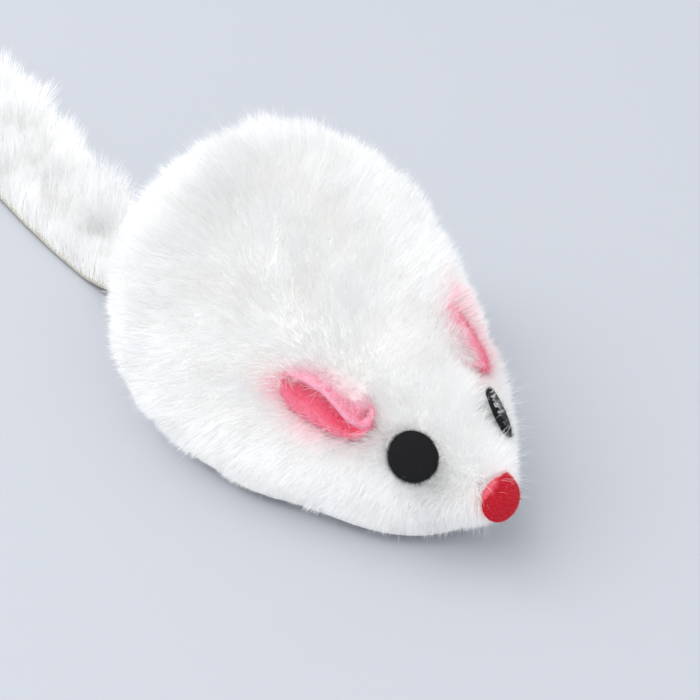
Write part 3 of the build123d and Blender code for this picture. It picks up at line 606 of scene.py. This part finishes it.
def grid_mesh(name, rows, colours, closed=False):
    """A mesh from rows of points, each row as long as the next, painted point by point."""
    rows = np.array(rows)
    height, width = rows.shape[:2]
    faces = []
    for i in range(height - 1):
        for j in range(width if closed else width - 1):
            k = (j + 1) % width
            faces.append((i * width + j, i * width + k, (i + 1) * width + k, (i + 1) * width + j))
    mesh = bpy.data.meshes.new(name)
    mesh.from_pydata([tuple(p) for p in rows.reshape(-1, 3)], [], faces)
    mesh.update()
    paint = mesh.color_attributes.new("paint", "FLOAT_COLOR", "POINT")
    colours = np.broadcast_to(np.array(colours, float), rows.shape).reshape(-1, 3)
    paint.data.foreach_set("color", np.concatenate([colours, np.ones((len(colours), 1))], axis=1).ravel())
    return mesh


def thickened(mesh, thickness, level=0):
    """The mesh as a closed sheet of that thickness, about its own surface."""
    holder = bpy.data.objects.new("holder", mesh)
    SCENE.collection.objects.link(holder)
    solid = holder.modifiers.new("solid", "SOLIDIFY")
    solid.thickness = thickness
    solid.offset = 0
    if level:
        smooth = holder.modifiers.new("smooth", "SUBSURF")
        smooth.levels = level
    made = bpy.data.meshes.new_from_object(holder.evaluated_get(bpy.context.evaluated_depsgraph_get()))
    bpy.data.objects.remove(holder)
    return made


def finished_felt(name, mesh, finish, node):
    """The felt piece that is seen in place of a CAD node."""
    made = piece(name, mesh, finish)
    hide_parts(node)
    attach(made, "chassis")


EYE_RADIUS = 3.0 * MM
EYE_NORMAL = (0.78, -0.47, 0.42)
EYE_SINK = {1: 0.15 * MM, -1: 0.0}  # how deep the left and the right eye sit in the pile
EYE_STEPS = 120
# From the middle of the face, over the rim, to the middle of the back: share of the radius, and mm.
EYE_PROFILE = [
    (0.0, 0.42), (0.5, 0.40), (0.85, 0.28), (0.97, 0.12), (1.0, -0.05), (0.98, -0.45), (0.0, -0.45),
]
EYE_BLACK = (0.014, 0.014, 0.015)
EYE_RIM_HAIRS = 1100
EYE_RIM_HALF_WIDTH = 0.018 * MM
EYE_VEIL_HAIRS = 64
EYE_VEIL_HALF_WIDTH = 0.022 * MM


def around(turn, waves, seed):
    """A noise that closes on itself round a rim."""
    return noise.noise(Vector((waves * math.cos(turn), waves * math.sin(turn), seed)))


def eye(name, side):
    """A punched felt disc, a little domed and not quite round."""
    normal = unit(mirrored(EYE_NORMAL, side))
    centre = middle_of(name) - EYE_SINK[side] * normal
    first = unit(np.cross(normal, (0.0, 0.0, 1.0)))
    second = np.cross(normal, first)
    rows = []
    for share, height in EYE_PROFILE:
        row = []
        for turn in np.linspace(0, 2 * math.pi, EYE_STEPS, endpoint=False):
            ragged = 0.022 * around(turn, 9, side) + 0.028 * around(turn, 3.5, side + 5)
            wobble = 1 + 0.012 * math.sin(3 * turn + side) + ragged
            spot = EYE_RADIUS * share * wobble * (math.cos(turn) * first + math.sin(turn) * second)
            row.append(centre + spot + height * MM * normal)
        rows.append(row)
    mesh = grid_mesh(name + "_felt", rows, EYE_BLACK, closed=True)
    finished_felt(name + "_felt", mesh, BLACK, name)
    fuzz(name + "_fuzz", mesh, BLACK_FUZZ, *EYE_FUZZ)
    count = EYE_RIM_HAIRS
    turn = 2 * math.pi * rng.random(count)[:, None]
    spoke = np.cos(turn) * first + np.sin(turn) * second
    root = centre + 0.97 * EYE_RADIUS * spoke + rng.uniform(-0.1, 0.15, (count, 1)) * MM * normal
    lean = 0.8 * rng.normal(size=root.shape)
    reach = rng.uniform(0.15, 0.45, count) * MM
    strands = grown(root, spoke, reach, lean, 0.5, rng, jitter=0.3)
    widths = np.full(count, EYE_RIM_HALF_WIDTH)
    mesh = strand_mesh(name + "_rim", strands, widths, rng, None, np.tile(normal, (count, 1)))
    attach(piece(name + "_rim", mesh, BLACK_FUZZ), "chassis")
    if side > 0:
        eye_veil(name, centre, normal)


def eye_veil(name, centre, normal):
    """Plush hairs that stand over the left eye's upper inner rim."""
    inner = unit(np.array(EYE_INNER))
    spoke = inner + 0.45 * rng.normal(size=(EYE_VEIL_HAIRS, 3))
    spoke = unit(spoke - normal * (spoke @ normal)[:, None])
    out = EYE_RADIUS * rng.uniform(0.84, 1.1, (EYE_VEIL_HAIRS, 1))
    root = centre + out * spoke + 0.1 * MM * normal
    lean = 0.55 * rng.normal(size=root.shape) - 0.2 * spoke
    reach = rng.uniform(0.35, 0.95, EYE_VEIL_HAIRS) * MM
    strands = grown(root, np.tile(normal, (EYE_VEIL_HAIRS, 1)), reach, lean, 0.5, rng, jitter=0.3)
    mesh = strand_mesh(name + "_veil", strands, np.full(EYE_VEIL_HAIRS, EYE_VEIL_HALF_WIDTH), rng)
    made = piece(name + "_veil", mesh, PILE)
    made.visible_shadow = False
    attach(made, "chassis")


# The ear's cross-section from its lower edge, over the petal, down to the crease, up its wall and
# out along the fold: place across the ear, and height, both as shares of the half width.
EAR_SECTION = [
    (-1.00, -0.10), (-0.72, -0.02), (-0.35, -0.07), (0.02, -0.16), (0.22, -0.08),
    (0.24, 0.14), (0.30, 0.28), (0.44, 0.26), (0.68, 0.04), (0.95, -0.30),
]
EAR_FOLD_START = 5  # the section's point where the fold begins
EAR_BLUNTNESS = 3.0  # higher makes the leaf's ends rounder
EAR_ROUNDING_PASSES = 3
FELT_THICKNESS = 0.5 * MM
CREASE_TO_BACK = 0.14  # how far the crease runs up across the ear at its back, in half widths
CREASE_TO_FRONT = 0.80  # and down across it at its front
DENT_PLACE = (-0.79, 0.62)  # of the pinch at the front, along and across the ear
DENT_SPREAD = (0.06, 0.20)
DENT_DEPTH = 0.35


def ear_veil(name, side, half_width_at, height_at, axes):
    """Fine plush hairs that lie over the ear's folded edge and soften it."""
    centre, run, across, normal = axes
    count = EAR_VEIL_HAIRS[side]
    u = rng.uniform(-0.45 if side < 0 else -0.85, 1.0, count)
    v = rng.triangular(0.50, 0.85, 1.2, count)
    half_width = half_width_at(u)
    root = (
        centre
        + run * (u * EAR_HALF_LENGTH)[:, None]
        + across * (half_width * v)[:, None]
        + normal * (half_width * height_at(v) + 0.12 * MM)[:, None]
    )
    out = -0.75 * run + across * (0.45 * rng.normal(size=count))[:, None] + 0.22 * normal
    reach = rng.uniform(0.9, 2.1, count) * MM
    lean = 0.35 * rng.normal(size=root.shape) - 0.15 * normal
    strands = grown(root, unit(out), reach, lean, 0.5, rng, jitter=0.12)
    # Hairs over the felt get a painted pink glow, as though the felt showed through them; those beyond its edge
    # stay white.
    mark = np.abs(v) + 0.14 * rng.normal(size=count)
    kinds = np.where(mark < 0.80, 2, np.where(mark < 1.05, 1, 0))
    widths = np.full(count, EAR_VEIL_HALF_WIDTH)
    mesh = strand_mesh(name + "_veil", strands, widths, rng, kinds, np.tile(normal, (count, 1)))
    made = piece(name + "_veil", mesh, [PILE, PINK_GLOW[0], PINK_GLOW[1]])
    made.visible_shadow = False
    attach(made, "chassis")


def ear(name, side):
    """A felt leaf creased along its length, with its upper half folded back and its front pinched."""
    centre, run, across, normal = ear_axes(name, side)
    section = np.array(EAR_SECTION)
    steps = np.linspace(0, len(section) - 1, 46)
    low_step = np.minimum(steps.astype(int), len(section) - 2)
    mix = (steps - low_step)[:, None]
    rounded = section[low_step] * (1 - mix) + section[low_step + 1] * mix
    for _ in range(EAR_ROUNDING_PASSES):
        rounded[1:-1] = (rounded[:-2] + 2 * rounded[1:-1] + rounded[2:]) / 4

    def width_at(u):
        return EAR_HALF_WIDTH * (1 - np.abs(u) ** EAR_BLUNTNESS) ** 0.5

    def to_back(u):
        return smoothstep(0.0, 1.0, u)

    def to_front(u):
        return smoothstep(0.25, -0.85, u)

    rows, colours = [], []
    for u in np.linspace(-1, 1, 57):
        half_width = width_at(u)
        front = smoothstep(-0.45, -0.95, u)
        row, row_colours = [], []
        for (v, h), step in zip(rounded, steps):
            petal = smoothstep(EAR_FOLD_START - 0.4, EAR_FOLD_START - 1.4, step)
            fold = smoothstep(EAR_FOLD_START, EAR_FOLD_START + 1.0, step)
            along_dent = (u - DENT_PLACE[0]) / DENT_SPREAD[0]
            across_dent = (v - DENT_PLACE[1]) / DENT_SPREAD[1]
            dent = math.exp(-(along_dent**2) - across_dent**2)
            shift = (CREASE_TO_BACK * to_back(u) - CREASE_TO_FRONT * to_front(u)) * (1 - abs(v))
            height = half_width * (h - DENT_DEPTH * dent - 0.10 * front)
            level = centre + run * u * EAR_HALF_LENGTH + across * half_width * (v + shift)
            row.append(level + normal * height)
            # Painted shade: the petal turns deep coral towards the hollow by the crease.
            deep = petal * smoothstep(-1.0, -0.2, v) * (0.75 + 0.25 * smoothstep(0.2, -0.6, u))
            colour = EAR_RIM_LIT + (EAR_CORAL - EAR_RIM_LIT) * deep
            # Painted light: the folded half pales, most of all on its outer part.
            pale = fold * smoothstep(0.34, 0.75, v) * (1 - 0.75 * front)
            colour = colour + (EAR_PALE_LIT - colour) * (0.3 * fold + 0.7 * pale)
            # Painted shade in the pinch: the felt there is darkened and reddened.
            colour = colour * (1 - 0.75 * min(1.0, 1.4 * dent)) + EAR_CORAL * 0.6 * dent
            row_colours.append(colour)
        rows.append(row)
        colours.append(row_colours)
    mesh = thickened(grid_mesh(name + "_felt", rows, colours), FELT_THICKNESS, 1)
    finished_felt(name + "_felt", mesh, PINK, name)

    def by_height(root):
        """Paler fibres on the folded half: painted light, as on the felt under them."""
        share = ((root - centre) @ across) / EAR_HALF_WIDTH
        return np.where(share + 0.35 * rng.normal(size=len(root)) > 0.42, 1, 0)

    def off_crease(spots):
        """Hardly any fibres in the crease, so that it stays deep."""
        u = ((spots - centre) @ run) / EAR_HALF_LENGTH
        v = ((spots - centre) @ across) / EAR_HALF_WIDTH
        crease = 0.26 + 0.1 * to_back(u) - 0.6 * to_front(u)
        return 1 - 0.97 * np.exp(-(((v - crease) / 0.16) ** 2))

    fuzz(name + "_fuzz", mesh, [PINK_FUZZ, PALE_LIT_FUZZ], *EAR_FUZZ, by_height, off_crease)

    def height_at(v):
        fold = section[EAR_FOLD_START:]
        return np.interp(v, fold[:, 0], fold[:, 1])

    ear_veil(name, side, width_at, height_at, (centre, run, across, normal))


NOSE_FACING = (0.0, -0.93, 0.37)
NOSE_CENTRE = (0.0, -30.0 * MM, 9.9 * MM)
NOSE_HALF_WIDTH = 2.6 * MM
NOSE_HALF_HEIGHT = 2.5 * MM
NOSE_THICKNESS = 0.55 * MM
NOSE_CORNER = (0.16, math.radians(52), math.radians(17))  # how far it sticks out, where, how wide
NOSE_RIDGE = 0.72  # where the ridge runs, along the slant
NOSE_RIDGE_SPREAD = 0.10
# The felt's deep red, with a lighter red painted as light along the nose's upper edge, past the ridge.
NOSE_DEEP = np.array([0.60, 0.014, 0.030])
NOSE_LIT = np.array([0.82, 0.17, 0.22])


def nose():
    """An oval of felt folded over the tip of the snout, with a ridge along its upper edge."""
    centre = np.array(NOSE_CENTRE)
    facing = unit(np.array(NOSE_FACING))
    wide = np.array([1.0, 0.0, 0.0])
    tall = np.cross(wide, facing)
    tall = tall if tall[2] > 0 else -tall
    rows, colours = [], []
    for share in np.linspace(0, 1, 20):
        row, row_colours = [], []
        for turn in np.linspace(0, 2 * math.pi, 72, endpoint=False):
            corner = 1 + NOSE_CORNER[0] * math.exp(-(((turn - NOSE_CORNER[1]) / NOSE_CORNER[2]) ** 2))
            x = share * math.cos(turn) * corner
            y = share * math.sin(turn) * corner
            slant = 0.85 * y - 0.50 * x + 0.10 * noise.noise(Vector((7 * x, 7 * y, 0.0)))
            ridge = math.exp(-(((slant - NOSE_RIDGE) / NOSE_RIDGE_SPREAD) ** 2))
            wrap = (x * x + y * y) ** 1.15
            height = 0.75 - wrap + 0.22 * ridge
            spot = NOSE_HALF_WIDTH * x * wide + NOSE_HALF_HEIGHT * y * tall + height * MM * facing
            row.append(centre + spot)
            # Painted light: lighter red past the ridge, along the upper edge.
            light = smoothstep(NOSE_RIDGE, NOSE_RIDGE + NOSE_RIDGE_SPREAD, slant)
            row_colours.append(NOSE_DEEP + (NOSE_LIT - NOSE_DEEP) * light)
        rows.append(row)
        colours.append(row_colours)
    mesh = thickened(grid_mesh("nose_felt", rows, colours, closed=True), NOSE_THICKNESS)
    finished_felt("nose_felt", mesh, RED, "nose_patch")
    fuzz("nose_fuzz", mesh, RED_FUZZ, *NOSE_FUZZ)


for side_name, side in (("left", 1), ("right", -1)):
    eye("eye_" + side_name, side)
    ear("ear_" + side_name, side)
nose()

# ---------------------------------------------------------------- tail
TAIL_PILE = 4.2 * MM
TAIL_BACKING_THICKNESS = 0.4 * MM
TAIL_STRANDS_PER_MM2 = 34.0
TAIL_END_INSET = 0.15 * MM  # the first and last stations lie this far inside the CAD strip
TAIL_WAVE = 0.12 * MM
TAIL_WAVES = 420  # per metre
TAIL_PARTING_SCALE = 170


def tail():
    """A strip of plush that comes down from the hem and lies on the floor, pile up."""
    low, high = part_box("tail_strip")
    solid = tree_of("tail_strip")
    stations = np.linspace(low.y + TAIL_END_INSET, high.y - TAIL_END_INSET, 100)
    upward = Vector((0, 0, 1))
    rows, edges = [], []
    for y in stations:
        below = [Vector((x, y, -0.01)) for x in np.linspace(low.x, high.x, 60)]
        found = [solid.ray_cast(spot, upward)[0] for spot in below]
        hits = [hit for hit in found if hit is not None]
        level = hits[len(hits) // 2].z
        span = [
            solid.ray_cast(Vector((start, y, level + 0.5 * MM)), Vector((-start, 0, 0)).normalized())[0].x
            for start in (-0.05, 0.05)
        ]
        edges.append(span)
        lifted = level + TAIL_BACKING_THICKNESS / 2 + TAIL_WAVE * abs(math.sin(y * TAIL_WAVES))
        rows.append([(x, y, lifted) for x in np.linspace(*span, 17)])
    edges = np.array(edges)
    flat = grid_mesh("tail_backing", rows, WHITE)
    spots, up, faces = as_arrays(flat)
    up = up * np.sign(up[:, 2:3])
    mesh = thickened(flat, TAIL_BACKING_THICKNESS)
    strip = piece("tail_backing", mesh, TAIL_BACKING)
    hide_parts("tail_strip")

    middle = (edges[:, 0] + edges[:, 1]) / 2
    area = np.sum(np.diff(stations) * (edges[:-1, 1] - edges[:-1, 0])) / MM**2
    count = int(area * TAIL_STRANDS_PER_MM2)
    clumps = count // STRANDS_PER_CLUMP

    def sown(number):
        mix, corner = scattered(spots, faces, np.ones(len(spots)), number, rng)
        return blended(spots, mix, corner), unit(blended(up, mix, corner))

    def lay(place):
        side = (place[:, 0] - np.interp(place[:, 1], stations, middle)) / (6 * MM)
        out = np.zeros_like(place)
        out[:, 0] = 0.35 + 0.55 * np.maximum(side, 0) ** 2
        out[:, 1] = 0.45
        return out + swirl(place, TAIL_PARTING_SCALE, 0.5) + swirl(place, TUFT_SCALE, 0.25)

    def tall(place):
        lumps = relief(place)
        return TAIL_PILE * (0.95 + 0.22 * lumps) * rng.uniform(0.85, 1.1, len(place)), lumps

    clump_root, clump_up = sown(clumps)
    clump_lean = lay(clump_root) + 0.3 * rng.normal(size=clump_root.shape)
    clump_lines = grown(clump_root, clump_up, tall(clump_root)[0], clump_lean, STRAND_CURL, rng, 0.1)
    root, root_up = sown(count)
    reach, lumps = tall(root)
    lines = grown(root, root_up, reach, lay(root), STRAND_CURL, rng)
    lines, own = gathered(lines, clump_root, clump_lines, rng.uniform(0.25, 0.7, count))
    lines[:, :, 2] = np.maximum(lines[:, :, 2], low.z + 0.1 * MM)
    # Warm strands here are painted shade too, with more of them in the hollows between the lumps.
    kinds = tinted(clumps, own, lumps, 0.34, 0.78)
    widths = STRAND_HALF_WIDTH * rng.uniform(0.7, 1.25, count)
    mesh = strand_mesh("tail_pile", lines, widths, rng, kinds, root_up)
    pile = piece("tail_pile", mesh, [PILE, PILE_WARM_SHADE, PILE_COOL])
    pile.visible_shadow = False
    for part in (strip, pile):
        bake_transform(part)
    return strip, pile


tail_backing, tail_pile = tail()

# ---------------------------------------------------------------- hard parts
# Per slot: the material's name, colour, darker colour, roughness, specular, metallic and grain per metre.
HARD = {
    "shell_plastic": ("plastic_white", (0.78, 0.78, 0.76), (0.74, 0.74, 0.72), 0.45, 0.5, 0.0, 300),
    "gear_plastic": ("plastic_gear", (0.82, 0.82, 0.77), (0.77, 0.77, 0.71), 0.35, 0.5, 0.0, 500),
    "wheel_plastic": ("plastic_dark", (0.05, 0.05, 0.055), (0.035, 0.035, 0.04), 0.5, 0.5, 0.0, 400),
    "key_plastic": ("plastic_key", (0.80, 0.80, 0.81), (0.76, 0.76, 0.77), 0.3, 0.5, 0.0, 300),
    "tyre_rubber": ("rubber", (0.024, 0.024, 0.024), (0.014, 0.014, 0.014), 0.85, 0.3, 0.0, 900),
    "plate_steel": ("steel", (0.62, 0.63, 0.65), (0.54, 0.55, 0.57), 0.32, 0.5, 1.0, 700),
    "spring_steel": ("spring_steel", (0.30, 0.33, 0.40), (0.22, 0.25, 0.33), 0.3, 0.5, 1.0, 700),
    "gear_brass": ("brass", (0.78, 0.58, 0.26), (0.68, 0.49, 0.20), 0.3, 0.5, 1.0, 700),
}
FINISHES = {}
for slot, (name, colour, darker, roughness, specular, metallic, grain) in HARD.items():
    plain = material(name, colour, roughness, specular, metallic)
    FINISHES[slot] = mottle(plain, colour, darker, grain, bump=0.3 if slot == "tyre_rubber" else 0.0)
for part in frame["record"]["subparts"]:
    finish = FINISHES.get(part["material_slot"])
    if finish:
        node = frame["nodes"][part["node"]]
        node.data.materials.clear()
        node.data.materials.append(finish)

# ---------------------------------------------------------------- floor, light and camera
FLOOR_COLOUR = (0.575, 0.595, 0.643)
FLOOR_REACH = 3
SKY_COLOUR = (0.93, 0.96, 1.0, 1.0)
SKY_STRENGTH = 0.8
LAMP_COLOUR = (1.0, 0.995, 0.985)
LAMP_SIZE = 0.6

floor_mesh = bpy.data.meshes.new("floor")
floor_corners = [(FLOOR_REACH * x, FLOOR_REACH * y, 0) for x, y in ((-1, -1), (1, -1), (1, 1), (-1, 1))]
floor_mesh.from_pydata(floor_corners, [], [(0, 1, 2, 3)])
floor = bpy.data.objects.new("floor", floor_mesh)
SCENE.collection.objects.link(floor)
floor_mesh.materials.append(material("floor_paper", FLOOR_COLOUR, 0.7, 0.2))

world = bpy.data.worlds.new("studio")
SCENE.world = world
world.use_nodes = True
world.node_tree.nodes["Background"].inputs["Color"].default_value = SKY_COLOUR
world.node_tree.nodes["Background"].inputs["Strength"].default_value = SKY_STRENGTH


def soft_light(name, place, power):
    """A square lamp that looks at the middle of the floor."""
    lamp = bpy.data.lights.new(name, "AREA")
    lamp.size = LAMP_SIZE
    lamp.energy = power
    lamp.color = LAMP_COLOUR
    holder = bpy.data.objects.new(name, lamp)
    holder.location = place
    holder.rotation_mode = "QUATERNION"
    holder.rotation_quaternion = (-Vector(place)).to_track_quat("-Z", "Y")
    SCENE.collection.objects.link(holder)


soft_light("overhead", (-0.22, 0.25, 0.54), 2.15)
soft_light("front", (-0.20, -0.50, 0.45), 0.78)

azimuth, elevation = math.radians(CAMERA_AZIMUTH), math.radians(CAMERA_ELEVATION)
back = Vector(
    (
        math.sin(azimuth) * math.cos(elevation),
        -math.cos(azimuth) * math.cos(elevation),
        math.sin(elevation),
    )
)
camera_data = bpy.data.cameras.new("camera")
camera_data.lens = CAMERA_LENS
camera_data.sensor_width = 36.0
camera_data.clip_start = 0.01
camera = bpy.data.objects.new("camera", camera_data)
camera.location = Vector(CAMERA_TARGET) + back * CAMERA_DISTANCE
camera.rotation_mode = "QUATERNION"
camera.rotation_quaternion = (-back).to_track_quat("-Z", "Y")
SCENE.collection.objects.link(camera)
SCENE.camera = camera
SCENE.view_settings.view_transform = "Standard"
